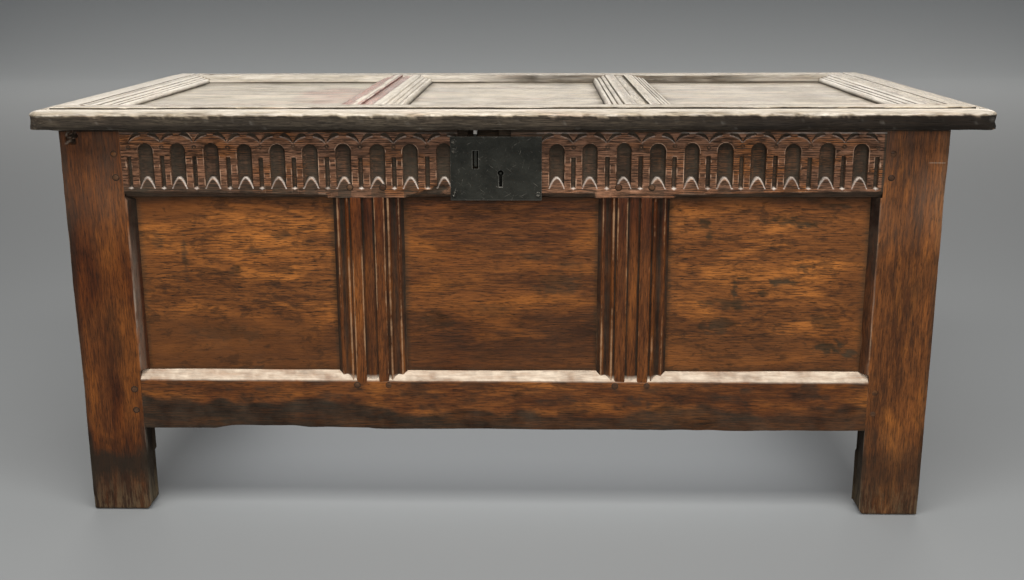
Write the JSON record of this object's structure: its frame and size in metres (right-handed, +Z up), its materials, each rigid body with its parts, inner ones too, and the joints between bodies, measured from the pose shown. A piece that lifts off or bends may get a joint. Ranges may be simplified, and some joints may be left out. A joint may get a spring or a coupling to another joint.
{
  "type": "coffer chest",
  "caption": "Joined oak coffer with a carved front rail, sunk panels, moulded muntins, an iron lock plate, stile feet and a framed lid on strap hinges.",
  "frame": {"origin": "middle of the footprint of the closed chest, on the floor it stands on", "axes": "+X along the front to the right as seen from the front, +Y from the front to the back, +Z up"},
  "size_m": [1.345, 0.6394, 0.615],
  "materials": {
    "frame_oak": "waxed old oak, satin",
    "panel_oak": "waxed old oak, satin",
    "lid_oak": "worn waxed oak, satin",
    "inner_oak": "unfinished oak",
    "peg_oak": "dark oak end grain",
    "iron": "dark wrought iron"
  },
  "bodies": {
    "carcass": {"back_bottom_rail": "frame_oak", "back_muntin_left": "frame_oak", "back_muntin_right": "frame_oak", "back_panel_left": "panel_oak", "back_panel_middle": "panel_oak", "back_panel_right": "panel_oak", "back_pegs": "peg_oak", "back_top_rail": "frame_oak", "floor_board_1": "inner_oak", "floor_board_2": "inner_oak", "floor_board_3": "inner_oak", "floor_board_4": "inner_oak", "floor_nails": "iron", "front_bottom_rail": "frame_oak", "front_muntin_left": "frame_oak", "front_muntin_right": "frame_oak", "front_panel_left": "panel_oak", "front_panel_middle": "panel_oak", "front_panel_right": "panel_oak", "front_pegs": "peg_oak", "front_top_rail": "frame_oak", "hinge_leaf_left": "iron", "hinge_leaf_nails": "iron", "hinge_leaf_right": "iron", "hinge_pins": "iron", "left_bottom_rail": "frame_oak", "left_muntin": "frame_oak", "left_panel_front": "panel_oak", "left_panel_rear": "panel_oak", "left_top_rail": "frame_oak", "lock_bridge": "iron", "lock_keepers": "iron", "lock_nails": "iron", "lock_plate": "iron", "lock_spring": "iron", "right_bottom_rail": "frame_oak", "right_muntin": "frame_oak", "right_panel_front": "panel_oak", "right_panel_rear": "panel_oak", "right_top_rail": "frame_oak", "side_pegs": "peg_oak", "stile_front_left": "frame_oak", "stile_front_right": "frame_oak", "stile_rear_left": "frame_oak", "stile_rear_right": "frame_oak"},
    "lid": {"hinge_strap_left": "iron", "hinge_strap_right": "iron", "lid_front_rail": "lid_oak", "lid_muntin_left": "lid_oak", "lid_muntin_right": "lid_oak", "lid_nails": "iron", "lid_panel_left": "lid_oak", "lid_panel_middle": "lid_oak", "lid_panel_right": "lid_oak", "lid_pegs": "peg_oak", "lid_rear_rail": "lid_oak", "lid_staple": "iron", "lid_stile_left": "lid_oak", "lid_stile_right": "lid_oak"},
    "lock_bolt": {"lock_bolt": "iron"}
  },
  "joints": [
    {"name": "lid_hinge", "type": "hinge", "parent": "carcass", "child": "lid", "pos_m": [0, 0.3137, 0.583], "axis": [-1, 0, 0], "range_deg": [0, 100]},
    {"name": "bolt_slide", "type": "slide", "parent": "carcass", "child": "lock_bolt", "axis": [-1, 0, 0], "range_m": [0, 0.013]}
  ]
}
